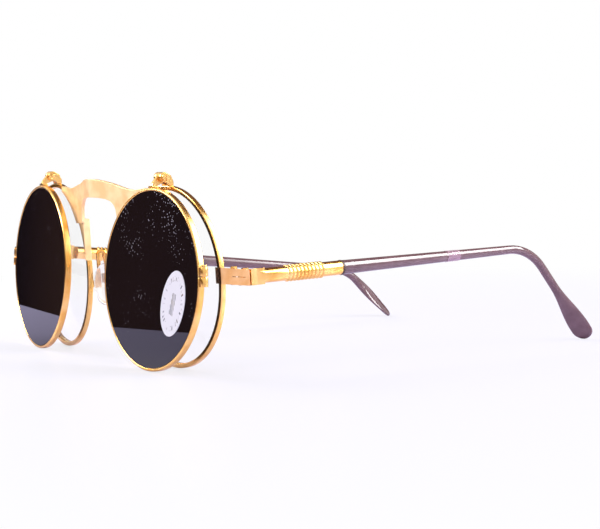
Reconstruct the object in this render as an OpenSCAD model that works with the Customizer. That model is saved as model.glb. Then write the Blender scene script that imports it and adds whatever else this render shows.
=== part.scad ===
// Round flip-up sunglasses: a wire frame with clear lenses and two dark lenses that flip up.
// Millimetres, +Z up. The front faces -Y, +X is the wearer's left, and the floor is z = 0.
// Left and right sizes differ a little, because the pair is bent slightly out of true, as photographed.

/* [Frame] */
// Half of the distance between the two lens centres
half_pitch = 35.7; // [34:0.1:38]
// How far each lens is turned outward, in degrees
wrap = 4.9; // [2:0.1:8]
// How far the top of the frame leans forward, in degrees
frame_tilt = 2.4; // [0:0.1:4]
// Outer radius of a clear lens rim
rear_out = 23.9; // [23.6:0.05:24.4]
// Inner radius of a clear lens rim
rear_in = 22.7; // [22.4:0.05:22.9]
// Depth of a clear lens rim, front to back
rear_depth = 1.56; // [1.4:0.02:2]

/* [Flip-up lenses] */
// Visible radius of a dark lens
flip_in = 23; // [22.6:0.1:23.1]
// Outer radius of a dark lens rim
flip_out = 23.77; // [23.7:0.01:24.2]
// Depth of a dark lens rim, front to back
flip_depth = 1.86; // [1.6:0.02:2.2]
// How far the dark lens centre is nearer the nose than the clear one
flip_shift = -0.14; // [-0.5:0.01:0.4]
// How far the bottom of a dark lens stands forward, in degrees
flip_tilt = 5.15; // [4:0.05:7]
// Flip hinge axis forward of the clear rim's middle
flip_hinge_y = 1.75; // [1.4:0.05:2.4]
// Flip hinge axis above the top of the clear rim
flip_rise = 2.3; // [2.1:0.1:3.4]
// Drop from the flip hinge axis to the top of the dark rim
flip_hang = 2.8; // [2.7:0.1:3.4]
// Middle of a dark rim forward of the flip hinge axis
flip_ahead = 2.26; // [2.2:0.01:2.8]

/* [Bridge] */
// Height of the middle of the bridge plate's top edge above the lens centre
bridge_top = 25.8; // [25:0.1:26.6]
// How far the middle of the bridge bulges forward of the wings
bridge_bulge = 1.5; // [0.5:0.1:3]
// Thickness of the bridge plate
bridge_t = 1; // [0.8:0.1:1.2]
// How far a bridge leg stands proud of the clear rim, toward the nose
leg_proud = 0.3; // [0.1:0.1:0.6]

/* [End pieces and temple hinges] */
// How far the end piece reaches outward past the clear rim
end_reach = 1; // [0.8:0.1:2]
// Front face of an end piece, behind the clear rims' middle
end_front = 0.75; // [0.5:0.05:0.8]
// Rear edge of an end piece
end_back = 9.05; // [8.8:0.05:9.4]
// Height of an end piece
end_h = 4.1; // [3.8:0.1:4.8]
// How far an end piece dips toward its hinge, in degrees
end_dip = 8.5; // [0:0.5:10]
// Thickness of an end piece's strip
end_t = 1.2; // [1:0.1:1.3]
// Height of the left temple hinge above the lens centre
hinge_z_left = 0.2; // [-0.4:0.1:1.4]
// Height of the right temple hinge above the lens centre
hinge_z_right = 2.1; // [1.2:0.1:2.6]
// Temple hinge axis inside the end piece's outer face
hinge_in = 2.7; // [2.5:0.1:2.9]
// Temple hinge axis, behind the clear rims' middle
hinge_y = 9.25; // [9.1:0.05:9.7]

/* [Temples] */
// Angle at which each temple comes inward, in degrees
toe_in = 4.3; // [3:0.05:6]
// Rise of the left temple against the frame, in degrees
slope_left = -0.7; // [-2:0.05:3]
// Rise of the right temple against the frame, in degrees
slope_right = -8.4; // [-11:0.05:-6]
// Length of the left temple from the hinge to the start of its ear bend
straight_left = 88; // [82:0.1:92]
// Length of the right temple from the hinge to the start of its ear bend
straight_right = 94.2; // [88:0.1:98]
// Angle of the left ear bend, in degrees
bend_left = 53; // [45:0.1:60]
// Angle of the right ear bend, in degrees
bend_right = 38.6; // [36:0.1:45]
// Radius of the ear bend
bend_r = 15; // [13:0.5:18]
// Length from the hinge to the start of the sleeve
rod_len = 29.1; // [27:0.1:31]
// Radius of the metal rod
rod_r = 1.9; // [1.7:0.05:2]
// Number of coil rings on the rod
ring_count = 10; // [6:1:12]
// Radius of the sleeve at its front end
sleeve_r0 = 1.9; // [1.8:0.05:2]
// Radius of the sleeve at the ear bend
sleeve_r1 = 1.2; // [1.1:0.05:1.5]
// Half width of the flat tip
tip_w = 3.1; // [2.6:0.1:3.5]
// Half thickness of the flat tip
tip_t = 0.8; // [0.7:0.05:1]
// Turn of the flat tip about its own length, in degrees
tip_turn = 62; // [0:1:70]

/* [Sticker] */
// Width of the oval sticker
sticker_w = 10.8; // [8:0.2:14]
// Height of the oval sticker
sticker_h = 17.6; // [12:0.2:19]
// How far the sticker's middle is outward of the dark lens's middle
sticker_out = 11.6; // [4:0.1:12]
// How far the sticker's middle is below the dark lens's middle
sticker_down = 5.6; // [0:0.1:8]
// How far the sticker's top leans outward, in degrees
sticker_lean = 20; // [0:1:30]

/* [Nose pads] */
// Length of a nose pad
pad_len = 12; // [10:0.5:13]
// Width of a nose pad
pad_w = 6.4; // [6:0.2:7.5]
// Thickness of a nose pad
pad_t = 2; // [1.6:0.1:2.2]

/* [Hidden] */
$fn = 96;
fit = 0.03;                   // running clearance of a pin in its bore, on the radius
rim_chamfer = 0.3;            // broken edge of a rim
seat = 0.02;                  // gap between brazed or clipped faces
through = 20;                 // length of a cut that goes right through a piece
front_y = -58.6;             // middle of the clear rims, so the part's box is centred on Y
gold = "#d9a441";
mauve = "#6f5560";

// ---- places ----

// nose side of a clear rim and of a bridge leg, and the end piece's outer face, in x
nose_x = half_pitch - rear_out;
nose_half = nose_x - leg_proud;
end_x = half_pitch + rear_out + end_reach;
hinge_x = end_x - hinge_in;

// flip hinge axis above the clear lens's centre, and above the dark lens's centre
flip_hinge_z = rear_out + flip_rise;
flip_drop = flip_out + flip_hang;

// lowest points of a clear rim and of a dark rim, below the lens centre
clear_low = rear_out * cos(frame_tilt) + (rear_depth / 2 - rim_chamfer) * sin(frame_tilt);
rim_back = flip_ahead - flip_depth / 2 + rim_chamfer;
rim_low_y = -flip_hinge_y - (flip_drop + flip_out) * sin(flip_tilt) - rim_back * cos(flip_tilt);
rim_low_z = flip_hinge_z - (flip_drop + flip_out) * cos(flip_tilt) + rim_back * sin(flip_tilt);
dark_low = -rim_low_z * cos(frame_tilt) - rim_low_y * sin(frame_tilt);

// the frame stands on whichever reaches lower
lens_z = max(clear_low, dark_low);

// sizes of the left side, where s is 1, or the right side, where s is -1
function hinge_z(s) = s > 0 ? hinge_z_left : hinge_z_right;
function slope(s) = s > 0 ? slope_left : slope_right;
function straight(s) = s > 0 ? straight_left : straight_right;
function ear_bend(s) = s > 0 ? bend_left : bend_right;

module on_side(s) {
    mirror([s < 0 ? 1 : 0, 0, 0])
        children();
}

module at_front() {
    translate([0, front_y, lens_z])
        rotate([frame_tilt, 0, 0])
            children();
}

// the clear lens's own frame: x outward, y back, z up
module at_lens(s) {
    on_side(s) at_front()
        translate([half_pitch, 0, 0])
            rotate([0, 0, wrap])
                children();
}

// the dark lens's own frame, with its origin on the flip hinge axis
module at_flip(s) {
    at_lens(s)
        translate([-flip_shift, -flip_hinge_y, flip_hinge_z])
            rotate([-flip_tilt, 0, 0])
                children();
}

module at_hinge(s) {
    on_side(s) at_front()
        translate([hinge_x, hinge_y, hinge_z(s)])
            children();
}

// the temple's own frame: origin on the hinge axis, y along the temple
module at_temple(s) {
    at_hinge(s)
        rotate([slope(s), 0, toe_in])
            children();
}

// ---- shared shapes ----

// a ring about the y axis, turned from an outline in (radius, y)
module turned(outline) {
    rotate([-90, 0, 0])
        rotate_extrude($fn = 180)
            polygon(outline);
}

// a disc or pin along y, from y0 to y1
module pin_y(r, y0, y1) {
    translate([0, y0, 0])
        rotate([-90, 0, 0])
            cylinder(r = r, h = y1 - y0);
}

// a disc or pin along x, from x0 to x1
module pin_x(r, x0, x1) {
    translate([x0, 0, 0])
        rotate([0, 90, 0])
            cylinder(r = r, h = x1 - x0);
}

module block(x0, x1, y0, y1, z0, z1) {
    translate([x0, y0, z0])
        cube([x1 - x0, y1 - y0, z1 - z0]);
}

// a plate cut from an outline in (y, z), from x0 to x1
module plate_x(outline, x0, x1) {
    translate([x0, 0, 0])
        rotate([90, 0, 90])
            linear_extrude(height = x1 - x0)
                polygon(outline);
}

// a lens rim with a V groove for the lens edge, in (radius, y), with its middle at y = 0
function rim_outline(r0, r1, d, groove) = let (c = rim_chamfer, f = d / 2)
    [[r0, c / 2 - f], [r0 + c / 2, -f], [r1 - c, -f], [r1, c - f], [r1, f - c], [r1 - c, f], [r0, f],
     [r0, groove], [r0 + groove, 0], [r0, -groove]];

// a flat lens with a bevelled edge, in (radius, y), with the bevel at y = 0
function lens_outline(r, edge, y0, y1) =
    [[0, y0], [r, y0], [r, -edge], [r + edge, 0], [r, edge], [r, y1], [0, y1]];

// a slotted screw along z: head on top at z1, shank down to z0
module screw_z(shank_r, head_r, z0, z1, head_h) {
    difference() {
        union() {
            translate([0, 0, z0])
                cylinder(r = shank_r, h = z1 - z0 + head_h / 2, $fn = 32);
            translate([0, 0, z1])
                cylinder(r = head_r, h = head_h, $fn = 40);
        }
        block(-head_r, head_r, -0.12, 0.12, z1 + head_h * 0.5, z1 + head_h + 1);
    }
}

// ---- clear lenses and their rims ----

groove = 0.4;                // depth of a rim's groove

module rear_rim(s) {
    color(gold) at_lens(s)
        turned(rim_outline(rear_in, rear_out, rear_depth, groove));
}

module clear_lens(s) {
    color("#eef4f6", 0.3) at_lens(s)
        turned(lens_outline(rear_in - seat, groove - seat, 0.1 - rear_depth / 2, rear_depth / 2 - 0.1));
}

// ---- bridge: one bent plate over both rims, with a leg down each rim's nose side ----

wing_end = half_pitch - 8.2;
leg_low = 2.5;
leg_top = 13;

function wing_y(x) = -(half_pitch - x) * tan(wrap) - rear_depth / 2 / cos(wrap) - bridge_t / 2 - seat;
function bulge(x) = x < nose_half ? bridge_bulge * pow(1 - pow(x / nose_half, 2), 2) : 0;
function plan_y(x) = wing_y(abs(x)) - bulge(abs(x));

// the plate's top edge, as a share of its half length and a depth below bridge_top
bridge_edge = [[0, 0], [0.11, 0.1], [0.22, 0.5], [0.33, 1.1], [0.44, 1.7], [0.55, 2.3], [0.65, 2.8],
    [0.76, 3], [0.87, 2.8], [0.96, 2.5], [1, 3.2]];
// right half of the plate's outline in (x, z), from the middle round to the middle
bridge_half = concat([for (e = bridge_edge) [e.x * wing_end, bridge_top - e.y]],
    [[wing_end, 16], [wing_end - 8.5, leg_top], [nose_half + 0.8, leg_top],
    [nose_half + 0.2, leg_top + 0.4], [nose_half, leg_top + 1.2], [nose_half, 15.9],
    [nose_half - 0.3, 17.4], [nose_half - 1.1, 18.7], [nose_half - 2.5, 19.7],
    [nose_half - 4.5, 20.3], [4, 20.65], [0, 20.75]]);

module bridge_half_outline() {
    difference() {
        polygon(bridge_half);
        translate([half_pitch, 0])
            circle(r = rear_in + 0.5, $fn = 180);
    }
}

module bridge_band() {
    steps = 80;
    reach = wing_end * 1.1;
    xs = [for (i = [0:steps]) reach * (2 * i / steps - 1)];
    front = [for (x = xs) [x, plan_y(x) - bridge_t / 2]];
    back = [for (i = [len(xs) - 1:-1:0]) [xs[i], plan_y(xs[i]) + bridge_t / 2]];
    linear_extrude(height = bridge_top * 2)
        polygon(concat(front, back));
}

module bridge() {
    color(gold) {
        at_front()
            intersection() {
                bridge_band();
                rotate([90, 0, 0])
                    linear_extrude(height = through, center = true) {
                        bridge_half_outline();
                        mirror([1, 0])
                            bridge_half_outline();
                    }
            }
        for (s = [-1, 1])
            at_lens(s) rotate([90, 0, 0])
                translate([0, 0, 0.1 - rear_depth / 2])
                    linear_extrude(height = rear_depth + 0.4)
                        difference() {
                            translate([-rear_out - 0.05, leg_low])
                                square([4.4, leg_top + 1.2 - leg_low]);
                            circle(r = rear_out + seat, $fn = 180);
                        }
    }
}

// ---- end pieces: a strip folded over the rim's outer edge and led back to the hinge ----

end_outline = [[end_x - 2.7, end_front], [end_x - 0.8, end_front], [end_x - 0.25, end_front + 0.25],
    [end_x, end_front + 0.8], [end_x, end_back], [end_x - end_t, end_back],
    [end_x - end_t, end_front + 1.1], [end_x - 2.7, end_front + 1.1]];
rim_screw_y = 5.6;
barrel_r = 0.95;

barrel_x = end_x - end_t - 0.7;
barrel_z = end_rise(rim_screw_y);

// how far the strip's middle is above the hinge's middle, at y
function end_rise(y) = (hinge_y - y) * tan(end_dip);

// the strip seen from the side, in (y, z) from the hinge's middle
end_side = [[end_front, end_rise(end_front) - end_h / 2], [end_back, -end_h / 2],
    [end_back, end_h / 2], [end_front, end_rise(end_front) + end_h / 2]];

module end_piece(s) {
    color(gold) difference() {
        on_side(s) at_front()
            translate([0, 0, hinge_z(s)])
                difference() {
                    union() {
                        intersection() {
                            linear_extrude(height = through, center = true)
                                polygon(end_outline);
                            plate_x(end_side, end_x - 3, end_x + 1);
                        }
                        // closing barrels of the clear rim, on the strip's inner face
                        translate([barrel_x, rim_screw_y, barrel_z - end_h / 2])
                            cylinder(r = barrel_r, h = end_h, $fn = 40);
                    }
                    translate([0, rim_screw_y, barrel_z]) {
                        // the line where the rim and the end piece open to change a lens
                        rotate([-end_dip, 0, 0])
                            block(end_x - 3, end_x + 1, -1.6, 2.2, -0.08, 0.08);
                        translate([barrel_x, 0, 0])
                            cylinder(r = 0.45 + fit, h = through, center = true, $fn = 32);
                    }
                }
        at_lens(s)
            pin_y(rear_out + seat, -rear_depth / 2 - seat, rear_depth / 2 + seat);
    }
}

module rim_screw(s) {
    color(gold) on_side(s) at_front()
        translate([barrel_x, rim_screw_y, hinge_z(s) + barrel_z])
            screw_z(0.45, 0.85, -end_h / 2 + 0.2, end_h / 2 + seat, 0.5);
}

// ---- temple hinge ----

knuckle_r = 1.15;
hinge_pin_r = 0.6;
knuckle_gap = 0.08;
mid_h = 1.5;                 // height of the middle knuckle
leaf_h = 3.7;

module front_hinge_leaf(s) {
    color(gold) at_hinge(s)
        difference() {
            union() {
                cylinder(r = knuckle_r, h = leaf_h, center = true, $fn = 48);
                block(0.25, end_x - end_t - hinge_x - seat, -2.3, -0.4, -leaf_h / 2, leaf_h / 2);
            }
            cylinder(r = hinge_pin_r + fit, h = through, center = true, $fn = 40);
            cylinder(r = knuckle_r + 0.3, h = mid_h + 2 * knuckle_gap, center = true, $fn = 48);
        }
}

module temple_hinge_leaf(s) {
    color(gold) at_hinge(s)
        difference() {
            union() {
                cylinder(r = knuckle_r, h = mid_h, center = true, $fn = 48);
                rotate([0, 0, toe_in]) {
                    block(0.2, 1.2, 0.2, 1.9, -mid_h / 2, mid_h / 2);
                    block(0.2, 1.2, 1.75, 3.4, -leaf_h / 2, leaf_h / 2);
                }
            }
            cylinder(r = hinge_pin_r + fit, h = through, center = true, $fn = 40);
        }
}

module temple_hinge_screw(s) {
    color(gold) at_hinge(s)
        screw_z(hinge_pin_r, 1, -leaf_h / 2 + 0.1, leaf_h / 2 + seat, 0.45);
}

// ---- flip hinges ----

flip_knuckle_r = 1.35;
flip_half = 1.75;            // half length of the hinge along its axis
flip_mid = 0.6;              // half width of the middle knuckle, with its gap

base_y0 = flip_hinge_y - rear_depth / 2;
base_y1 = flip_hinge_y + rear_depth / 2;
base_low = rear_out - flip_hinge_z - 0.25;
leaf_low = flip_out - flip_drop - 0.2;

// the arm from a knuckle down to the clear rim, in (y, z) from the hinge axis
base_arm = [[-0.9, -1], [0.9, 1], [1.8, 0.5], [base_y1, -1.2], [base_y1, base_low],
    [base_y0, base_low], [base_y0, -1.9], [0.3, -1.35]];
// the arm from the middle knuckle down to the dark rim, in (y, z) from the hinge axis
leaf_arm = [[-1.1, 0.7], [1.1, -0.7], [0.2, -1.5], [0.8 - flip_ahead, -2.2],
    [0.8 - flip_ahead, leaf_low], [-0.8 - flip_ahead, leaf_low], [-0.8 - flip_ahead, -2.2],
    [-0.5 - flip_ahead, -1.5]];

module flip_hinge_base(s) {
    color(gold) difference() {
        at_lens(s)
            translate([-flip_shift, -flip_hinge_y, flip_hinge_z])
                difference() {
                    union() {
                        pin_x(flip_knuckle_r, -flip_half, flip_half);
                        plate_x(base_arm, -flip_half, flip_half);
                    }
                    pin_x(hinge_pin_r + fit, -4, 4);
                    block(-flip_mid, flip_mid, -3, 1.6, -4, 3);
                }
        at_lens(s)
            pin_y(rear_out + seat, -3, 4);
    }
}

module flip_hinge_leaf(s) {
    color(gold) at_flip(s)
        difference() {
            union() {
                pin_x(flip_knuckle_r, -flip_mid + knuckle_gap, flip_mid - knuckle_gap);
                plate_x(leaf_arm, -flip_mid + knuckle_gap, flip_mid - knuckle_gap);
                block(-1.6, 1.6, -0.8 - flip_ahead, 0.8 - flip_ahead, leaf_low, leaf_low + 0.65);
            }
            pin_x(hinge_pin_r + fit, -4, 4);
            translate([0, 0, -flip_drop])
                pin_y(flip_out + seat, -5, 2);
        }
}

module flip_hinge_screw(s) {
    color(gold) at_lens(s)
        translate([-flip_shift, -flip_hinge_y, flip_hinge_z])
            rotate([0, 90, 0])
                screw_z(hinge_pin_r, 1.05, -flip_half, flip_half + seat, 0.5);
}

// ---- dark lenses, their rims and closing blocks ----

lock_turn = 4;               // the closing block sits this far above the lens's middle, degrees
lock_x = flip_out + 1.05;
lock_h = 5;
lock_t = flip_depth - 0.3;
lens_front = 0.05 - flip_depth / 2;    // front face of a dark lens, behind its rim's front face

// the middle of a dark lens and rim, from the hinge axis
module at_disc() {
    translate([0, -flip_ahead, -flip_drop])
        children();
}

module at_lock() {
    at_disc()
        rotate([0, -lock_turn, 0])
            children();
}

module front_rim(s) {
    color(gold) at_flip(s)
        difference() {
            union() {
                at_disc()
                    turned(rim_outline(flip_in, flip_out, flip_depth, groove));
                at_lock() {
                    block(flip_out - 0.35, lock_x, -lock_t / 2, lock_t / 2, -lock_h / 2, lock_h / 2);
                    translate([lock_x, 0, -lock_h / 2])
                        cylinder(r = barrel_r, h = lock_h, $fn = 40);
                }
            }
            at_lock() {
                block(flip_in - 1, lock_x + 2, -2, 2, -0.15, 0.15);
                translate([lock_x, 0, 0])
                    cylinder(r = 0.45 + fit, h = through, center = true, $fn = 32);
            }
            at_disc()
                pin_y(flip_in, -2, 2);
        }
}

module front_rim_screw(s) {
    color(gold) at_flip(s) at_lock()
        translate([lock_x, 0, 0])
            screw_z(0.45, 0.8, -lock_h / 2 + 0.2, lock_h / 2 + seat, 0.45);
}

module tinted_lens(s) {
    color("#1a171c") at_flip(s) at_disc()
        turned(lens_outline(flip_in - seat, groove - seat, lens_front, flip_depth / 2 - 0.2));
}

sticker_t = 0.12;
glue = 0.005;

module lens_sticker() {
    color("white") at_flip(1) at_disc()
        translate([sticker_out, lens_front - sticker_t - glue, -sticker_down])
            rotate([-90, 0, 0])
                rotate([0, 0, sticker_lean])
                    linear_extrude(height = sticker_t)
                        polygon([for (a = [0:6:354]) [sticker_w / 2 * cos(a), sticker_h / 2 * sin(a)]]);
}

// ---- nose pads ----

arm_r = 0.6;                 // wire of the loop
limb_r = arm_r - 0.02;       // wire of the two straight limbs
limb_a = [nose_x + 0.8, 0.9];    // limb by the rim, in (x, y)
limb_b = [nose_x - 0.1, 2.7];    // limb that carries the pad
loop_r = norm(limb_b - limb_a) / 2;
loop_z = 3.8;
arm_low = -5.5;
pad_pivot = [limb_b.x + 0.3, limb_b.y, -3.2];
pad_pin_r = 0.35;

module pad_arm(s) {
    color(gold) difference() {
        on_side(s) at_front()
            difference() {
                union() {
                    translate([limb_a.x, limb_a.y, arm_low])
                        cylinder(r = limb_r, h = loop_z + 0.05 - arm_low, $fn = 32);
                    block(limb_a.x - 0.4, limb_a.x + 1.6, -2.2, limb_a.y, arm_low + 0.2, arm_low + 2);
                    translate([(limb_a.x + limb_b.x) / 2, (limb_a.y + limb_b.y) / 2, loop_z])
                        rotate([90, 0, atan2(limb_b.y - limb_a.y, limb_b.x - limb_a.x)])
                            rotate_extrude(angle = 180, $fn = 48)
                                translate([loop_r, 0])
                                    circle(r = arm_r, $fn = 32);
                    translate([limb_b.x, limb_b.y, pad_pivot.z + 1.2])
                        cylinder(r = limb_r, h = loop_z + 0.05 - pad_pivot.z - 1.2, $fn = 32);
                    translate(pad_pivot)
                        block(-0.85, 0.85, -0.85, 0.85, -1.15, 1.3);
                }
                // slot for the pad's tongue, and its screw
                translate(pad_pivot)
                    block(-2, 0.5, -0.4, 0.4, -2, 1);
                translate(pad_pivot)
                    pin_y(pad_pin_r + fit, -2, 2);
            }
        at_lens(s)
            pin_y(rear_out + seat, -rear_depth / 2 - seat, rear_depth / 2 + seat);
    }
}

module pad_screw(s) {
    color(gold) on_side(s) at_front()
        translate(pad_pivot)
            rotate([-90, 0, 0])
                screw_z(pad_pin_r, 0.65, -0.8, 0.85 + seat, 0.3);
}

module nose_pad(s) {
    color("#f2f0ee", 0.5) on_side(s) at_front()
        translate(pad_pivot)
            difference() {
                union() {
                    rotate([-4, 12, 14])
                        translate([-2.35, -0.8, -1.8])
                            scale([pad_t / pad_len, pad_w / pad_len, 1])
                                sphere(d = pad_len, $fn = 40);
                    block(-2.2, 0.35, -0.33, 0.33, -0.7, 0.7);
                }
                pin_y(pad_pin_r + fit, -2, 2);
            }
}

// ---- temples ----

ring_r = 0.42;
ring_from = 12.1;
ring_pitch = 1.17;
butt_h = 4.15;
butt_x = end_x - hinge_x;    // outer face of the temple's flat front end
rod_x = butt_x - rod_r;      // middle line of the rod from the hinge axis
flat_cut = 0.5;              // the flat is milled this far into the round rod
ramp_from = 3.2;
ramp_angle = 13.5;
core_r = 0.7;

module temple_rod(s) {
    color(gold) at_temple(s) {
        difference() {
            union() {
                // flat front end beside the hinge
                block(1.22, butt_x - flat_cut, 0.35, 4.5, -butt_h / 2, butt_h / 2);
                translate([rod_x, 0, 0])
                    pin_y(rod_r, 3.2, rod_len);
                // coil rings, as beads round the rod
                for (i = [0:ring_count - 1])
                    translate([rod_x, ring_from + i * ring_pitch, 0])
                        rotate([-90, 0, 0])
                            rotate_extrude()
                                translate([rod_r - 0.12, 0])
                                    circle(r = ring_r, $fn = 20);
            }
            // the flat's rear corners run out into the round rod
            for (k = [-1, 1])
                translate([0, 2.6, k * (butt_h / 2)])
                    rotate([k * 24, 0, 0])
                        block(-1, butt_x + 1, -0.2, 3.5, k > 0 ? 0 : -2, k > 0 ? 2 : 0);
            // the flat's outer side, milled into the round rod and ending in a ramp
            translate([butt_x - flat_cut, ramp_from, 0])
                rotate([0, 0, -ramp_angle])
                    block(0, 2, -1, 4, -3, 3);
            block(butt_x - flat_cut, butt_x + 1, 0, ramp_from, -3, 3);
            // the inner side is flat where it bears the hinge leaf
            block(rod_x - rod_r - 1, 1.2 + seat, -1, 5, -3, 3);
            // the core wire is let into the rod's end
            translate([rod_x, 0, 0])
                pin_y(core_r + seat, rod_len - core_sunk - seat, rod_len + 1);
        }
    }
}

// the middle line of the sleeve, at s mm from the hinge, in (y, z) of the temple's frame
function arc_len(s) = bend_r * ear_bend(s) * PI / 180;
function line_y(s, d) = let (a = straight(s), b = a + arc_len(s), e = ear_bend(s))
    d < a ? d : d < b ? a + bend_r * sin((d - a) / bend_r * 180 / PI)
    : a + bend_r * sin(e) + (d - b) * cos(e);
function line_z(s, d) = let (a = straight(s), b = a + arc_len(s), e = ear_bend(s))
    d < a ? 0 : d < b ? -bend_r * (1 - cos((d - a) / bend_r * 180 / PI))
    : -bend_r * (1 - cos(e)) - (d - b) * sin(e);
function line_angle(s, d) = let (a = straight(s), e = ear_bend(s))
    min(e, max(0, (d - a) / bend_r * 180 / PI));

// the flat tip runs on until its rounded end touches the floor
function drop(s) = ear_bend(s) - slope(s) - frame_tilt;
function tip_reach(s) = let (n = sin(tip_turn) * cos(drop(s)))
    norm([tip_w * sqrt(1 - n * n), tip_t * n]);
function bend_end_height(s) = let (b = straight(s) + arc_len(s), t = slope_here(s))
    lens_z + hinge_y * sin(frame_tilt) + hinge_z(s) * cos(frame_tilt)
    + line_y(s, b) * sin(t) + line_z(s, b) * cos(t);
function slope_here(s) = slope(s) + frame_tilt;
tip_rise = 0.07;             // the rounded end of a turned tip reaches this much further down
function tip_len(s) = (bend_end_height(s) - tip_reach(s) - tip_rise) / sin(drop(s));
function sleeve_end(s) = straight(s) + arc_len(s) + tip_len(s) + tip_w;

paddle_len = 20;             // the flat tip widens from this far before its end
paddle_full = 4;             // to this far before it

// half width and half thickness of the sleeve at d mm from the hinge, and its turn
function mix(a, b, t) = a + (b - a) * t;
function ease(t) = let (u = min(1, max(0, t))) u * u * (3 - 2 * u);
function half_w(s, d) = let (a = straight(s), e = sleeve_end(s))
    d < a ? mix(sleeve_r0, sleeve_r1, (d - rod_len) / (a - rod_len))
    : mix(sleeve_r1, tip_w, ease((d - e + paddle_len) / (paddle_len - paddle_full)));
function half_t(s, d) = let (a = straight(s), e = sleeve_end(s))
    d < a ? half_w(s, d) : mix(sleeve_r1, tip_t, ease((d - a) / (e - a)));
function turn(s, d) = let (a = straight(s), e = sleeve_end(s))
    tip_turn * ease((d - a) / (e - a));

// one ring of the sweep, across the middle line
function ring(s, d, w, t, n = 24) = let (e = line_angle(s, d), q = turn(s, d))
    [for (i = [0:n - 1]) let (c = w * cos(i * 360 / n), h = t * sin(i * 360 / n),
        u = c * cos(q) - h * sin(q), x = h * cos(q) + c * sin(q))
        [rod_x + x, line_y(s, d) + u * sin(e), line_z(s, d) + u * cos(e)]];

module swept(rings) {
    n = len(rings[0]);
    m = len(rings);
    points = [for (r = rings) for (p = r) p];
    sides = [for (j = [0:m - 2]) for (i = [0:n - 1])
        [j * n + i, j * n + (i + 1) % n, (j + 1) * n + (i + 1) % n, (j + 1) * n + i]];
    ends = [[for (i = [n - 1:-1:0]) i], [for (i = [0:n - 1]) (m - 1) * n + i]];
    polyhedron(points = points, faces = concat(sides, ends));
}

// distances of the rings: sparse on the straight, close round the bend and the tip
function stations(s) = let (a = straight(s), e = sleeve_end(s) - tip_w, n = 25) concat(
    [rod_len + seat], [for (k = [0.01, 0.3, 0.65, 0.97]) mix(rod_len, a, k)],
    [for (i = [0:n]) mix(a, e, i / n)]);

core_past_bend = 12;         // the core wire ends this far past the bend
core_sunk = 3;               // and it is let this far into the rod

function core_stations(s) = let (a = straight(s), e = a + arc_len(s) + core_past_bend, n = 12)
    concat([rod_len - core_sunk, mix(rod_len, a, 0.3), mix(rod_len, a, 0.97)],
    [for (i = [0:n]) mix(a, e, i / n)]);

module temple_core(s) {
    color(gold) at_temple(s)
        swept([for (d = core_stations(s)) ring(s, d, core_r, core_r)]);
}

// the sleeve's bore for the core wire, from its blind end out to the mouth
function bore_rings(s) = let (ds = core_stations(s), r = core_r + seat) concat(
    [ring(s, ds[len(ds) - 1] + seat, r, r)],
    [for (i = [len(ds) - 1:-1:1]) ring(s, ds[i], r, r)],
    [ring(s, rod_len + seat, r, r)]);

module temple_sleeve(s) {
    e = sleeve_end(s);
    body = [for (d = stations(s)) ring(s, d, half_w(s, d), half_t(s, d))];
    // the tip is rounded off over its last half width
    cap = [for (a = [14:14:84]) ring(s, e - tip_w + tip_w * sin(a), tip_w * cos(a),
        tip_t * sqrt(cos(a)))];
    color(mauve) at_temple(s)
        swept(concat(bore_rings(s), body, cap));
}

rear_rim(1);  // rear_rim_left
rear_rim(-1);  // rear_rim_right
clear_lens(1);  // clear_lens_left
clear_lens(-1);  // clear_lens_right
bridge();
end_piece(1);  // end_piece_left
end_piece(-1);  // end_piece_right
rim_screw(1);  // rim_screw_left
rim_screw(-1);  // rim_screw_right
front_hinge_leaf(1);  // front_hinge_leaf_left
front_hinge_leaf(-1);  // front_hinge_leaf_right
temple_hinge_screw(1);  // temple_hinge_screw_left
temple_hinge_screw(-1);  // temple_hinge_screw_right
flip_hinge_base(1);  // flip_hinge_base_left
flip_hinge_base(-1);  // flip_hinge_base_right
flip_hinge_screw(1);  // flip_hinge_screw_left
flip_hinge_screw(-1);  // flip_hinge_screw_right
pad_arm(1);  // pad_arm_left
pad_arm(-1);  // pad_arm_right
pad_screw(1);  // pad_screw_left
pad_screw(-1);  // pad_screw_right
nose_pad(1);  // nose_pad_left
nose_pad(-1);  // nose_pad_right
front_rim(1);  // front_rim_left
front_rim(-1);  // front_rim_right
tinted_lens(1);  // tinted_lens_left
tinted_lens(-1);  // tinted_lens_right
flip_hinge_leaf(1);  // flip_hinge_leaf_left
flip_hinge_leaf(-1);  // flip_hinge_leaf_right
front_rim_screw(1);  // front_rim_screw_left
front_rim_screw(-1);  // front_rim_screw_right
lens_sticker();
temple_hinge_leaf(1);  // temple_hinge_leaf_left
temple_hinge_leaf(-1);  // temple_hinge_leaf_right
temple_rod(1);  // temple_rod_left
temple_rod(-1);  // temple_rod_right
temple_core(1);  // temple_core_left
temple_core(-1);  // temple_core_right
temple_sleeve(1);  // temple_sleeve_left
temple_sleeve(-1);  // temple_sleeve_right
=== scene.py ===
import math

import bpy
from mathutils import Matrix, Vector
from mathutils.bvhtree import BVHTree


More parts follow.
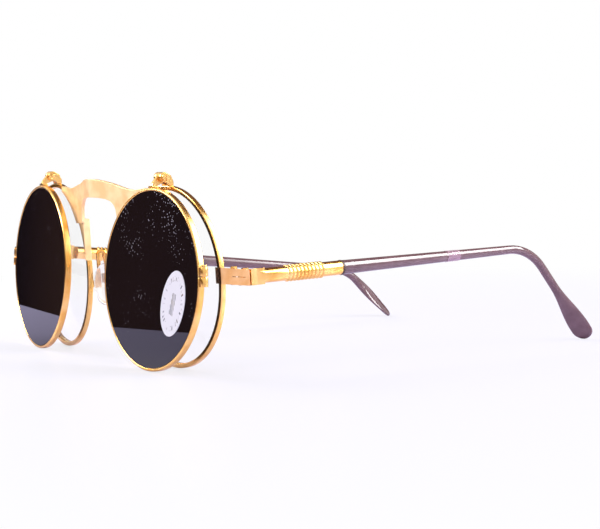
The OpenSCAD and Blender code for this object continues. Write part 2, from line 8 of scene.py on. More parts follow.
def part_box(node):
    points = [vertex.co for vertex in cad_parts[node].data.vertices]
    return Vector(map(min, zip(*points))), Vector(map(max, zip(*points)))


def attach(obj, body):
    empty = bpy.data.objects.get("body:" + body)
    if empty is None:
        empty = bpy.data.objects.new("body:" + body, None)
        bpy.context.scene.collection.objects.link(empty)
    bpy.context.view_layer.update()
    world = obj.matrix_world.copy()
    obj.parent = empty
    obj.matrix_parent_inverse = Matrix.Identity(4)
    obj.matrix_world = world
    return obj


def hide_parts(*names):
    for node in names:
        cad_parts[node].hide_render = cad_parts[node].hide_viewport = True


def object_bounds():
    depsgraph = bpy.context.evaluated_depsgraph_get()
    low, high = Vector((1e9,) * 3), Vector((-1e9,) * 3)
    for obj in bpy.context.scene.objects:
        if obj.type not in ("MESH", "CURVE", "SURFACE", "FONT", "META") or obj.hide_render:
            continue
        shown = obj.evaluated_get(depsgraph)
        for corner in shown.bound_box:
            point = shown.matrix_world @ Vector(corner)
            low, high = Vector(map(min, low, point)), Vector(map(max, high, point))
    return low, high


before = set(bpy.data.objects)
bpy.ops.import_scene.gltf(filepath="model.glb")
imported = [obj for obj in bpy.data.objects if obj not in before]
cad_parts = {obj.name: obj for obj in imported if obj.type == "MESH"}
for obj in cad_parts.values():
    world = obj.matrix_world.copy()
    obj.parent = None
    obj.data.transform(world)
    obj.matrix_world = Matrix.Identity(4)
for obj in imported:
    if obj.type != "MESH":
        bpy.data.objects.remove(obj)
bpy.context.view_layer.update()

# ---- Where the photograph was taken from ----
# The camera stood about half a metre away, in front of the wearer's left temple and just above.
# Its place, aim and lens come from the image points below, in the photograph's own pixels.
PHOTO_W, PHOTO_H = 600, 529
IMAGE_POINTS = {
    "object left": (13.5, None),
    "object right": (591, None),
    "object top": (None, 171.7),
    "object bottom": (None, 372),
    "near dark rim left": (103.8, None),
    "near clear rim right": (227, None),
    "near clear rim bottom": (None, 367.5),
    "far clear rim bottom": (None, 347.8),
    "far flip hinge": (47.5, 178),
    "bridge top": (None, 179.2),
    "label": (173, 303.2),
    "sleeve start": (343.5, None),
    "near ear bend top": (None, 246),
    "near tip bottom": (None, 337.7),
    "far tip end": (388, None),
    "film band": (454.7, 255.5),
}
CAMERA_PLACE = (0.46980782, -0.27746259, 0.05819407)
CAMERA_YAW, CAMERA_PITCH, CAMERA_ROLL = -1.03554, -0.06491, -0.02074
CAMERA_LENS, CAMERA_SENSOR = 111.71, 36.0

bpy.ops.object.camera_add(location=CAMERA_PLACE)
camera = bpy.context.object
camera.data.lens = CAMERA_LENS
camera.data.sensor_width = CAMERA_SENSOR
camera.data.sensor_fit = "AUTO"
camera.data.clip_start = 0.01
camera.data.clip_end = 20
camera.matrix_world = (
    Matrix.Translation(CAMERA_PLACE)
    @ Matrix.Rotation(-CAMERA_YAW, 4, "Z")
    @ Matrix.Rotation(math.pi / 2 + CAMERA_PITCH, 4, "X")
    @ Matrix.Rotation(CAMERA_ROLL, 4, "Z")
)
bpy.context.scene.camera = camera


def seen_place(x, y, carriers):
    """Where the ray through an image point first meets the carriers."""
    span = max(PHOTO_W, PHOTO_H)
    across = x - PHOTO_W / 2 + camera.data.shift_x * span
    up = PHOTO_H / 2 - y + camera.data.shift_y * span
    aim = camera.matrix_world.to_3x3() @ Vector((across, up, -span * CAMERA_LENS / CAMERA_SENSOR))
    aim.normalize()
    start = camera.matrix_world.translation
    best = None
    for carrier in carriers:
        tree = BVHTree.FromObject(carrier, bpy.context.evaluated_depsgraph_get())
        hit, _, _, reach = tree.ray_cast(start, aim)
        if hit is None:
            along = aim.dot(Vector(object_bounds()[0]) - start)
            hit, _, _, _ = tree.find_nearest(start + aim * along)
            reach = 1e3
        if best is None or reach < best[1]:
            best = (hit, reach)
    return best[0]


# ---- Clear rims ----
# Two round rims of flat nickel-silver wire, rolled to a ring with a groove inside for the lens.
# Each is closed by a screw at its outer edge, and all of the metal is gold plated after brazing.
mm = 0.001
SIDES = {"left": 1, "right": -1}
rim_low, rim_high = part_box("rear_rim_left")
rim_middle = (rim_low + rim_high) / 2
FRAME_TILT, WRAP = 2.4, 4.9
REAR_IN, REAR_OUT, REAR_DEPTH = 22.7, 23.9, 1.56
RIM_STEPS = 180


def turned(degrees, axis):
    return Matrix.Rotation(math.radians(degrees), 4, axis)


def moved(x, y, z):
    return Matrix.Translation((x * mm, y * mm, z * mm))


front = Matrix.Translation((0, rim_middle.y, rim_middle.z)) @ turned(FRAME_TILT, "X")
wrapped = Matrix.Translation((rim_middle.x, 0, 0)) @ turned(WRAP, "Z")
lens_seat = {name: Matrix.Diagonal((s, 1, 1, 1)) @ front @ wrapped for name, s in SIDES.items()}


def alone(piece):
    """Makes one object the only one selected and active."""
    bpy.ops.object.select_all(action="DESELECT")
    piece.select_set(True)
    bpy.context.view_layer.objects.active = piece


def lathe(name, outline, closed, steps):
    """Spins an outline of (radius, depth) points, in mm, about the y axis."""
    bpy.ops.object.select_all(action="DESELECT")
    bpy.ops.mesh.primitive_plane_add(size=mm)
    piece = bpy.context.object
    piece.name = name
    piece.data.name = name
    bpy.ops.object.mode_set(mode="EDIT")
    bpy.ops.mesh.merge(type="CENTER")
    at = Vector((0, 0, 0))
    for i, (radius, depth) in enumerate(outline):
        step = Vector((radius * mm, depth * mm, 0)) - at
        if i == 0:
            bpy.ops.transform.translate(value=step)
        else:
            bpy.ops.mesh.extrude_vertices_move(TRANSFORM_OT_translate={"value": step})
        at += step
    bpy.ops.object.mode_set(mode="OBJECT")
    if closed:
        for v in piece.data.vertices:
            v.select = v.index in (0, len(outline) - 1)
        bpy.ops.object.mode_set(mode="EDIT")
        bpy.ops.mesh.edge_face_add()
        bpy.ops.object.mode_set(mode="OBJECT")
    bpy.ops.object.mode_set(mode="EDIT")
    bpy.ops.mesh.select_all(action="SELECT")
    bpy.ops.mesh.spin(steps=steps, angle=math.radians(360), center=(0, 0, 0), axis=(0, 1, 0))
    bpy.ops.mesh.select_all(action="SELECT")
    bpy.ops.mesh.remove_doubles(threshold=1e-6)
    bpy.ops.mesh.normals_make_consistent(inside=False)
    bpy.ops.object.mode_set(mode="OBJECT")
    return piece


def finished(piece, place, body, slot, material, *nodes, smooth=40):
    """Sets a piece down in its place, gives it its metal or plastic, and fixes it to its body."""
    alone(piece)
    piece.matrix_world = place
    bpy.ops.object.transform_apply(location=True, rotation=True, scale=True)
    bpy.ops.object.mode_set(mode="EDIT")
    bpy.ops.mesh.select_all(action="SELECT")
    bpy.ops.mesh.normals_make_consistent(inside=False)
    bpy.ops.object.mode_set(mode="OBJECT")
    bpy.ops.object.shade_smooth_by_angle(angle=math.radians(smooth))
    flat = piece.modifiers.new("flat_faces", "WEIGHTED_NORMAL")
    flat.keep_sharp = True
    bpy.ops.object.modifier_apply(modifier=flat.name)
    piece.data.materials.clear()
    piece.data.materials.append(material)
    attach(piece, body)
    if nodes:
        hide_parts(*nodes)
    return piece


def linear(hex_colour):
    """An sRGB hex colour as linear red, green, blue and alpha."""
    parts = [int(hex_colour[i : i + 2], 16) / 255 for i in (1, 3, 5)]
    return (*(c / 12.92 if c <= 0.04045 else ((c + 0.055) / 1.055) ** 2.4 for c in parts), 1)


def add(tree, kind, values=None, links=None):
    """Adds one node, with its settings and socket values, and what feeds its sockets."""
    made = tree.nodes.new(kind)
    for key, value in (values or {}).items():
        if isinstance(key, str) and hasattr(made, key):
            setattr(made, key, value)
        else:
            made.inputs[key].default_value = value
    for key, source in (links or {}).items():
        tree.links.new(source, made.inputs[key])
    return made


def new_material(name, surface_values):
    """A material with a Principled surface, its tree, and that surface's node."""
    made = bpy.data.materials.new(name)
    made.use_nodes = True
    surface = made.node_tree.nodes["Principled BSDF"]
    for key, value in surface_values.items():
        surface.inputs[key].default_value = value
    return made, made.node_tree, surface


# Bright gold plate over polished nickel silver. The eye gets a warm yellow mirror, softened by
# fine wipe marks about 0.4 mm apart and by slow changes of tone where the plating is thinner.
gold_plate, tree, surface = new_material("gold_plate_polished", {"Metallic": 1.0})
place = add(tree, "ShaderNodeTexCoord")
tone = add(
    tree, "ShaderNodeTexNoise", {"Scale": 1 / (5 * mm), "Detail": 2.0},
    {"Vector": place.outputs["Object"]},
)
colour = add(tree, "ShaderNodeValToRGB", links={"Fac": tone.outputs["Fac"]})
colour.color_ramp.elements[0].position = 0.35
colour.color_ramp.elements[0].color = linear("#EBB25C")
colour.color_ramp.elements[1].position = 0.65
colour.color_ramp.elements[1].color = linear("#F7CB80")
wipes = add(
    tree, "ShaderNodeTexNoise", {"Scale": 1 / (0.4 * mm), "Detail": 4.0},
    {"Vector": place.outputs["Object"]},
)
polish = add(
    tree, "ShaderNodeMapRange", {"To Min": 0.16, "To Max": 0.3}, {"Value": wipes.outputs["Fac"]},
)
relief = add(
    tree, "ShaderNodeBump", {"Strength": 0.12, "Distance": 0.02 * mm},
    {"Height": wipes.outputs["Fac"]},
)
tree.links.new(colour.outputs["Color"], surface.inputs["Base Color"])
tree.links.new(polish.outputs["Result"], surface.inputs["Roughness"])
tree.links.new(relief.outputs["Normal"], surface.inputs["Normal"])


def ring_outline(inner, outer, depth, groove=0.4, edge=0.3):
    """The section of a grooved rim, in (radius, depth), middle at depth 0."""
    half = depth / 2
    soft = edge * 0.3
    return [
        (inner, edge / 2 - half), (inner + edge / 2, -half), (outer - edge, -half),
        (outer - soft, soft - half), (outer, edge - half), (outer, half - edge),
        (outer - soft, half - soft), (outer - edge, half), (inner, half),
        (inner, groove), (inner + groove, 0), (inner, -groove),
    ]


for name in SIDES:
    ring = lathe("clear_rim_" + name, ring_outline(REAR_IN, REAR_OUT, REAR_DEPTH), True, RIM_STEPS)
    finished(
        ring, lens_seat[name], "front", "gold_plate", gold_plate, "rear_rim_" + name, smooth=30,
    )

# ---- Clear lenses ----
# Plain lenses for reading or for no power, moulded in hard clear resin about 1.3 mm thick.
# Each snaps into its rim's groove by its bevelled edge, and its front is a little domed.
LENS_DOME, LENS_INSET = 0.35, 0.15
LENS_PLAY, LENS_BEVEL = 0.02, 0.36
CLEAR_STEPS = 96

# Cast optical resin, polished on both faces: the eye looks straight through it, and the lens only
# covers what is behind it a little, more toward grazing angles, with a faint haze in places.
clear_resin, tree, surface = new_material(
    "optical_resin_polished",
    {"Base Color": linear("#FBFDFD"), "Roughness": 0.0, "IOR": 1.5, "Transmission Weight": 1.0},
)
place = add(tree, "ShaderNodeTexCoord")
smear = add(
    tree, "ShaderNodeTexNoise", {"Scale": 1 / (9 * mm), "Detail": 3.0},
    {"Vector": place.outputs["Object"]},
)
haze = add(
    tree, "ShaderNodeMapRange", {"To Min": 0.0, "To Max": 0.05}, {"Value": smear.outputs["Fac"]},
)
graze = add(tree, "ShaderNodeLayerWeight", {"Blend": 0.5})
steep = add(tree, "ShaderNodeMath", {"operation": "POWER", 1: 5.0}, {0: graze.outputs["Facing"]})
cover = add(
    tree, "ShaderNodeMapRange", {"To Min": 0.03, "To Max": 0.5}, {"Value": steep.outputs["Value"]},
)
tree.links.new(haze.outputs["Result"], surface.inputs["Roughness"])
tree.links.new(cover.outputs["Result"], surface.inputs["Alpha"])


def lens_section(radius, bevel, front_depth, back_depth, dome, rings=8):
    """The section of a lens from the middle of its front, round its bevelled edge, to the back."""
    curve = [(radius * i / rings, dome * (1 - (i / rings) ** 2)) for i in range(rings + 1)]
    face = [(r, front_depth - rise) for r, rise in curve]
    back = [(r, back_depth - rise) for r, rise in reversed(curve)]
    return face + [(radius, -bevel), (radius + bevel, 0), (radius, bevel)] + back


for name in SIDES:
    face_at = REAR_DEPTH / 2 - LENS_INSET
    section = lens_section(REAR_IN - LENS_PLAY, LENS_BEVEL, -face_at, face_at, LENS_DOME)
    lens = lathe("clear_lens_dish_" + name, section, False, CLEAR_STEPS)
    finished(
        lens, lens_seat[name], "front", "clear_lens", clear_resin, "clear_lens_" + name, smooth=30,
    )

# ---- Bridge ----
# One strip of nickel silver, cut out with its two legs and bent round the fronts of both rims.
# It is brazed to each rim over the nose, and its broad faces are satin brushed before plating.
EASE_FROM = 30


def eased(node, name, edge, segments=2):
    """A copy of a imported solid, triangles merged and sharp edges rounded off by so many mm."""
    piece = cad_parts[node].copy()
    piece.data = piece.data.copy()
    for key in list(piece.keys()):
        del piece[key]
    piece.name = name
    piece.data.name = name
    piece.parent = None
    piece.hide_render = False
    piece.hide_viewport = False
    bpy.context.scene.collection.objects.link(piece)
    alone(piece)
    bpy.ops.object.mode_set(mode="EDIT")
    bpy.ops.mesh.select_all(action="SELECT")
    bpy.ops.mesh.remove_doubles(threshold=1e-6)
    bpy.ops.mesh.dissolve_limited(angle_limit=math.radians(0.5))
    bpy.ops.object.mode_set(mode="OBJECT")
    bevel = piece.modifiers.new("edges", "BEVEL")
    bevel.width = edge * mm
    bevel.segments = segments
    bevel.limit_method = "ANGLE"
    bevel.angle_limit = math.radians(EASE_FROM)
    bpy.ops.object.modifier_apply(modifier=bevel.name)
    return piece


# Satin gold: the strip is drawn along a fine belt before plating, so long marks about 0.15 mm
# apart run along it and spread the light into a soft sheen. Its colour is a paler copy of the
# polished gold, a painted sheen that lightens the bridge.
satin_gold, tree, surface = new_material("gold_plate_satin_painted_pale_sheen", {"Metallic": 1.0})
place = add(tree, "ShaderNodeTexCoord")
along = add(
    tree, "ShaderNodeMapping", {"Scale": (0.06, 0.06, 1)}, {"Vector": place.outputs["Object"]},
)
marks = add(
    tree, "ShaderNodeTexNoise", {"Scale": 1 / (0.15 * mm), "Detail": 3.0},
    {"Vector": along.outputs["Vector"]},
)
tone = add(
    tree, "ShaderNodeTexNoise", {"Scale": 1 / (4 * mm), "Detail": 2.0},
    {"Vector": place.outputs["Object"]},
)
# This ramp is paler than the polished gold: painted sheen.
colour = add(tree, "ShaderNodeValToRGB", links={"Fac": tone.outputs["Fac"]})
colour.color_ramp.elements[0].position = 0.35
colour.color_ramp.elements[0].color = linear("#F0C690")
colour.color_ramp.elements[1].position = 0.65
colour.color_ramp.elements[1].color = linear("#FADCAC")
sheen = add(
    tree, "ShaderNodeMapRange", {"To Min": 0.42, "To Max": 0.54}, {"Value": marks.outputs["Fac"]},
)
relief = add(
    tree, "ShaderNodeBump", {"Strength": 0.2, "Distance": 0.01 * mm},
    {"Height": marks.outputs["Fac"]},
)
tree.links.new(colour.outputs["Color"], surface.inputs["Base Color"])
tree.links.new(sheen.outputs["Result"], surface.inputs["Roughness"])
tree.links.new(relief.outputs["Normal"], surface.inputs["Normal"])

HERE = Matrix.Identity(4)
strap = eased("bridge", "bridge_strap", 0.18, 3)
finished(strap, HERE, "front", "satin_gold", satin_gold, "bridge", smooth=35)

# ---- End pieces ----
# A strip folded over each rim's outer edge and led back to the temple hinge, brazed to the rim.
# It is slit along its middle, where a small screw behind opens the rim to change the lens.

# Buffed gold: the strip's flat faces carry soft marks along the strip, 0.2 mm apart, and a deeper,
# even yellow that is painted shade, a darker copy of the polished gold.
buffed_gold_painted_shade, tree, surface = new_material("gold_plate_buffed_painted_shade", {"Metallic": 1.0})
place = add(tree, "ShaderNodeTexCoord")
along = add(tree, "ShaderNodeMapping", {"Scale": (1, 0.06, 1)}, {"Vector": place.outputs["Object"]})
marks = add(
    tree, "ShaderNodeTexNoise", {"Scale": 1 / (0.2 * mm), "Detail": 3.0},
    {"Vector": along.outputs["Vector"]},
)
tone = add(
    tree, "ShaderNodeTexNoise", {"Scale": 1 / (3 * mm), "Detail": 2.0},
    {"Vector": place.outputs["Object"]},
)
# This ramp is darker than the polished gold: painted shade.
colour = add(tree, "ShaderNodeValToRGB", links={"Fac": tone.outputs["Fac"]})
colour.color_ramp.elements[0].position = 0.35
colour.color_ramp.elements[0].color = linear("#DFA766")
colour.color_ramp.elements[1].position = 0.65
colour.color_ramp.elements[1].color = linear("#EAB97F")
sheen = add(
    tree, "ShaderNodeMapRange", {"To Min": 0.16, "To Max": 0.26}, {"Value": marks.outputs["Fac"]},
)
relief = add(
    tree, "ShaderNodeBump", {"Strength": 0.15, "Distance": 0.01 * mm},
    {"Height": marks.outputs["Fac"]},
)
tree.links.new(colour.outputs["Color"], surface.inputs["Base Color"])
tree.links.new(sheen.outputs["Result"], surface.inputs["Roughness"])
tree.links.new(relief.outputs["Normal"], surface.inputs["Normal"])

for name in SIDES:
    strip = eased("end_piece_" + name, "end_strip_" + name, 0.15)
    finished(strip, HERE, "front", "satin_gold", buffed_gold_painted_shade, "end_piece_" + name)
    screw = eased("rim_screw_" + name, "rim_screw_head_" + name, 0.05)
    finished(screw, HERE, "front", "screw_gold", gold_plate, "rim_screw_" + name)

# ---- Temple hinges ----
# Three-knuckle hinges: two knuckles brazed to the end piece and one to the temple, on a screw.
# They are milled from nickel silver and plated together with the frame.
for name in SIDES:
    leaf = eased("front_hinge_leaf_" + name, "front_knuckles_" + name, 0.1)
    finished(leaf, HERE, "front", "gold_plate", gold_plate, "front_hinge_leaf_" + name)
    leaf = eased("temple_hinge_leaf_" + name, "temple_knuckle_" + name, 0.1)
    finished(leaf, HERE, "temple_" + name, "gold_plate", gold_plate, "temple_hinge_leaf_" + name)
    screw = eased("temple_hinge_screw_" + name, "temple_screw_" + name, 0.06)
    finished(screw, HERE, "front", "screw_gold", gold_plate, "temple_hinge_screw_" + name)

# ---- Nose pads ----
# Clear silicone pads, each moulded round a small tongue that a screw holds in a boxed end.
# The end is carried by a loop of round wire brazed to the rim's back, which bends to fit a nose.
silicone, tree, surface = new_material(
    "clear_silicone_moulded",
    {"Base Color": linear("#F4F2F0"), "Roughness": 0.12, "IOR": 1.41, "Transmission Weight": 0.85},
)
place = add(tree, "ShaderNodeTexCoord")
cloud = add(
    tree, "ShaderNodeTexNoise", {"Scale": 1 / (1.5 * mm), "Detail": 3.0},
    {"Vector": place.outputs["Object"]},
)
milk = add(
    tree, "ShaderNodeMapRange", {"To Min": 0.08, "To Max": 0.22}, {"Value": cloud.outputs["Fac"]},
)
tree.links.new(milk.outputs["Result"], surface.inputs["Roughness"])
light = add(tree, "ShaderNodeLightPath")
passed = add(tree, "ShaderNodeBsdfTransparent", {"Color": linear("#E6E4E6")})
blend = add(
    tree, "ShaderNodeMixShader",
    links={
        0: light.outputs["Is Shadow Ray"], 1: surface.outputs["BSDF"], 2: passed.outputs["BSDF"],
    },
)
tree.links.new(blend.outputs["Shader"], tree.nodes["Material Output"].inputs["Surface"])

for name in SIDES:
    arm = eased("pad_arm_" + name, "pad_wire_" + name, 0.08)
    finished(arm, HERE, "front", "gold_plate", gold_plate, "pad_arm_" + name)
    screw = eased("pad_screw_" + name, "pad_screw_head_" + name, 0.05)
    finished(screw, HERE, "front", "screw_gold", gold_plate, "pad_screw_" + name)
    pad = eased("nose_pad_" + name, "silicone_pad_" + name, 0.1)
    finished(pad, HERE, "pad_" + name, "pad_silicone", silicone, "nose_pad_" + name, smooth=50)

# ---- Flip hinges ----
# On top of each clear rim a forked knuckle carries a leaf, which hangs the dark lens in front.
# A slotted screw through all three knuckles holds the leaf by friction at any angle.
for name in SIDES:
    fork = eased("flip_hinge_base_" + name, "flip_fork_" + name, 0.12)
    finished(fork, HERE, "front", "gold_plate", gold_plate, "flip_hinge_base_" + name)
    screw = eased("flip_hinge_screw_" + name, "flip_screw_" + name, 0.08)
    finished(screw, HERE, "front", "screw_gold", gold_plate, "flip_hinge_screw_" + name)
    leaf = eased("flip_hinge_leaf_" + name, "flip_leaf_" + name, 0.1)
    finished(leaf, HERE, "flip_" + name, "gold_plate", gold_plate, "flip_hinge_leaf_" + name)

# ---- Dark rims ----
# Deeper rims of the same wire, each split at its outer edge between the halves of a closing block.
# The block's barrel takes a slotted screw, which pinches the rim shut on the dark lens.
for name in SIDES:
    ring = eased("front_rim_" + name, "dark_rim_" + name, 0.1)
    finished(ring, HERE, "flip_" + name, "gold_plate", gold_plate, "front_rim_" + name)
    screw = eased("front_rim_screw_" + name, "closing_screw_" + name, 0.05)
    finished(screw, HERE, "flip_" + name, "screw_gold", gold_plate, "front_rim_screw_" + name)

# ---- Dark lenses ----
# Flat lenses of dark tinted resin, nearly black from outside and polished to a mirror gloss.
# Dust has settled on them and shows as pale specks, thickest on the upper half.
FLIP_LEAN, FLIP_IN = 5.15, 23.0
LENS_FACE, LENS_BACK = -0.88, 0.73
DARK_STEPS = 128
flip_turn = turned(FRAME_TILT, "X") @ turned(WRAP, "Z") @ turned(-FLIP_LEAN, "X")
lens_low, lens_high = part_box("tinted_lens_left")
lens_centre = Vector((0, (LENS_FACE + LENS_BACK) / 2 * mm, 0))
lens_middle = (lens_low + lens_high) / 2 - flip_turn @ lens_centre
flip_seat = {
    name: Matrix.Diagonal((s, 1, 1, 1)) @ Matrix.Translation(lens_middle) @ flip_turn
    for name, s in SIDES.items()
}

# Dark optical resin: black with a faint violet, a sharp reflection kept a little weak by a coat,
# and dull grey dust specks up to 0.35 mm across, drawn coarse enough to show. They come in
# patches, thin out downwards, and hardly lie on the right lens.
dark_resin, tree, surface = new_material(
    "tinted_resin_polished", {"Roughness": 0.01, "IOR": 1.4, "Specular Tint": linear("#D6CDF2")},
)
place = add(tree, "ShaderNodeTexCoord")
speck = add(
    tree, "ShaderNodeTexVoronoi", {"Scale": 1 / (0.8 * mm)}, {"Vector": place.outputs["Object"]},
)
crowd = add(
    tree, "ShaderNodeTexNoise", {"Scale": 1 / (9 * mm), "Detail": 2.0},
    {"Vector": place.outputs["Object"]},
)
spot = add(tree, "ShaderNodeSeparateXYZ", None, {0: place.outputs["Object"]})
lift = add(
    tree, "ShaderNodeMapRange",
    {"From Min": 18 * mm, "From Max": 44 * mm, "To Min": -0.1, "To Max": 0.08},
    {"Value": spot.outputs["Z"]},
)
wiped = add(
    tree, "ShaderNodeMapRange",
    {"From Min": -20 * mm, "From Max": 10 * mm, "To Min": -0.12, "To Max": 0.0},
    {"Value": spot.outputs["X"]},
)
lifted = add(
    tree, "ShaderNodeMath", {"operation": "ADD"},
    {0: crowd.outputs["Fac"], 1: lift.outputs["Result"]},
)
dusty = add(
    tree, "ShaderNodeMath", {"operation": "ADD"},
    {0: lifted.outputs["Value"], 1: wiped.outputs["Result"]},
)
size = add(
    tree, "ShaderNodeMapRange",
    {"From Min": 0.42, "From Max": 0.64, "To Min": 0.0, "To Max": 0.22},
    {"Value": dusty.outputs["Value"]},
)
dust = add(
    tree, "ShaderNodeMath", {"operation": "LESS_THAN"},
    {0: speck.outputs["Distance"], 1: size.outputs["Result"]},
)
colour = add(
    tree, "ShaderNodeMix", {"data_type": "RGBA", 6: linear("#100D12"), 7: linear("#928E92")},
    {0: dust.outputs["Value"]},
)
gloss = add(
    tree, "ShaderNodeMapRange", {"To Min": 0.01, "To Max": 0.6}, {"Value": dust.outputs["Value"]},
)
tree.links.new(colour.outputs[2], surface.inputs["Base Color"])
tree.links.new(gloss.outputs["Result"], surface.inputs["Roughness"])

for name in SIDES:
    section = lens_section(FLIP_IN - LENS_PLAY, LENS_BEVEL, LENS_FACE, LENS_BACK, 0)
    lens = lathe("dark_lens_" + name, section, False, DARK_STEPS)
    finished(
        lens, flip_seat[name], "flip_" + name, "dark_lens", dark_resin, "tinted_lens_" + name,
        smooth=30,
    )

# ---- Sticker ----
# A shop's oval label of white film on the wearer's left dark lens, printed in grey and bronze.
# The print here is only ticks, bars and dots, since no words or marks are copied.
LABEL_W, LABEL_H, LABEL_LEAN, LABEL_T = 10.8, 17.6, 20, 0.12
LABEL_OUT, LABEL_DOWN = 11.6, 5.6
label_seat = flip_seat["left"] @ moved(LABEL_OUT, LENS_FACE - LABEL_T, -LABEL_DOWN)
label_axes = label_seat.to_3x3() @ turned(LABEL_LEAN, "Y").to_3x3()
label_across = label_axes @ Vector((1, 0, 0)) / (LABEL_W / 2 * mm)
label_up = label_axes @ Vector((0, 0, 1)) / (LABEL_H / 2 * mm)

# White vinyl with faint print: a ring of short ticks near the edge, some missing, a column of
# slanted bars up the middle, and a few bronze dots.
film, tree, surface = new_material("vinyl_film_printed", {"Roughness": 0.45})
place = add(tree, "ShaderNodeTexCoord")
off = add(
    tree, "ShaderNodeVectorMath", {"operation": "SUBTRACT", 1: label_seat.translation},
    {0: place.outputs["Object"]},
)
across = add(
    tree, "ShaderNodeVectorMath", {"operation": "DOT_PRODUCT", 1: label_across},
    {0: off.outputs[0]},
)
upward = add(
    tree, "ShaderNodeVectorMath", {"operation": "DOT_PRODUCT", 1: label_up}, {0: off.outputs[0]},
)
flat = add(
    tree, "ShaderNodeCombineXYZ", None, {0: across.outputs["Value"], 1: upward.outputs["Value"]},
)
radius = add(tree, "ShaderNodeVectorMath", {"operation": "LENGTH"}, {0: flat.outputs[0]})
round_by = add(
    tree, "ShaderNodeMath", {"operation": "ARCTAN2"},
    {0: upward.outputs["Value"], 1: across.outputs["Value"]},
)
count = add(tree, "ShaderNodeMath", {"operation": "MULTIPLY", 1: 5.4}, {0: round_by.outputs[0]})
part = add(tree, "ShaderNodeMath", {"operation": "FRACT"}, {0: count.outputs[0]})
tick = add(tree, "ShaderNodeMath", {"operation": "LESS_THAN", 1: 0.42}, {0: part.outputs[0]})
band = add(
    tree, "ShaderNodeMath", {"operation": "COMPARE", 1: 0.76, 2: 0.075},
    {0: radius.outputs["Value"]},
)
breaks = add(
    tree, "ShaderNodeTexNoise", {"Scale": 1 / (1.3 * mm)}, {"Vector": place.outputs["Object"]},
)
kept = add(
    tree, "ShaderNodeMapRange", {"From Min": 0.45, "From Max": 0.62},
    {"Value": breaks.outputs["Fac"]},
)
ring_print = add(
    tree, "ShaderNodeMath", {"operation": "MULTIPLY"}, {0: tick.outputs[0], 1: band.outputs[0]},
)
ring_kept = add(
    tree, "ShaderNodeMath", {"operation": "MULTIPLY"},
    {0: ring_print.outputs[0], 1: kept.outputs[0]},
)
slant = add(
    tree, "ShaderNodeMath", {"operation": "MULTIPLY_ADD", 1: 1.3},
    {0: across.outputs["Value"], 2: upward.outputs["Value"]},
)
rows = add(tree, "ShaderNodeMath", {"operation": "MULTIPLY", 1: 6.0}, {0: slant.outputs[0]})
row = add(tree, "ShaderNodeMath", {"operation": "FRACT"}, {0: rows.outputs[0]})
bar = add(tree, "ShaderNodeMath", {"operation": "LESS_THAN", 1: 0.5}, {0: row.outputs[0]})
wide = add(
    tree, "ShaderNodeMath", {"operation": "COMPARE", 1: 0.0, 2: 0.17}, {0: across.outputs["Value"]},
)
tall = add(
    tree, "ShaderNodeMath", {"operation": "COMPARE", 1: -0.02, 2: 0.33},
    {0: upward.outputs["Value"]},
)
block = add(
    tree, "ShaderNodeMath", {"operation": "MULTIPLY"}, {0: wide.outputs[0], 1: tall.outputs[0]},
)
bars = add(
    tree, "ShaderNodeMath", {"operation": "MULTIPLY"}, {0: block.outputs[0], 1: bar.outputs[0]},
)
printed = add(
    tree, "ShaderNodeMath", {"operation": "MAXIMUM"}, {0: ring_kept.outputs[0], 1: bars.outputs[0]},
)
weight = add(tree, "ShaderNodeMath", {"operation": "MULTIPLY", 1: 0.9}, {0: printed.outputs[0]})
inks = add(
    tree, "ShaderNodeTexNoise", {"Scale": 1 / (2.5 * mm)}, {"Vector": place.outputs["Object"]},
)
ink = add(tree, "ShaderNodeValToRGB", links={"Fac": inks.outputs["Fac"]})
ink.color_ramp.elements[0].position = 0.45
ink.color_ramp.elements[0].color = linear("#4E4A55")
ink.color_ramp.elements[1].position = 0.6
ink.color_ramp.elements[1].color = linear("#6E5930")
face = add(
    tree, "ShaderNodeMix", {"data_type": "RGBA", 6: linear("#F4F3F1")},
    {0: weight.outputs[0], 7: ink.outputs["Color"]},
)
tree.links.new(face.outputs[2], surface.inputs["Base Color"])
label = eased("lens_sticker", "oval_label", 0.02)
finished(label, HERE, "flip_left", "sticker_film", film, "lens_sticker")

# ---- Temple rods ----
# Turned rods of nickel silver, gold plated, with a flat front end beside the hinge.
# Ten rings are cut round each for grip and ornament, and the hinge's knuckle is brazed inside.
for name in SIDES:
    rod = eased("temple_rod_" + name, "temple_bar_" + name, 0.1)
    finished(rod, HERE, "temple_" + name, "gold_plate", gold_plate, "temple_rod_" + name)

# ---- Sleeves ----
# Tubes of glossy mauve-brown acetate drawn over each temple's core wire, pressed flat at the end.
# The core wire runs inside, and a dark bead at the joint with the metal rod is painted shade for
# the shadowed gap there.
HINGE_X, HINGE_Y, TOE_IN = 57.9, 9.25, 4.3
HINGE_Z = {"left": 0.2, "right": 2.1}
SLOPE = {"left": -0.7, "right": -8.4}
ROD_X, ROD_LEN, STRAIGHT = 0.8, 29.1, 88
TUBE_STEPS = 48
BEAD_OUTLINE = [(1.5, -0.2), (1.95, -0.2), (2.02, 0.15), (1.95, 0.55), (1.5, 0.55)]
temple_seat = {
    name: Matrix.Diagonal((s, 1, 1, 1)) @ front @ moved(HINGE_X, HINGE_Y, HINGE_Z[name])
    @ turned(TOE_IN, "Z") @ turned(SLOPE[name], "X")
    for name, s in SIDES.items()
}

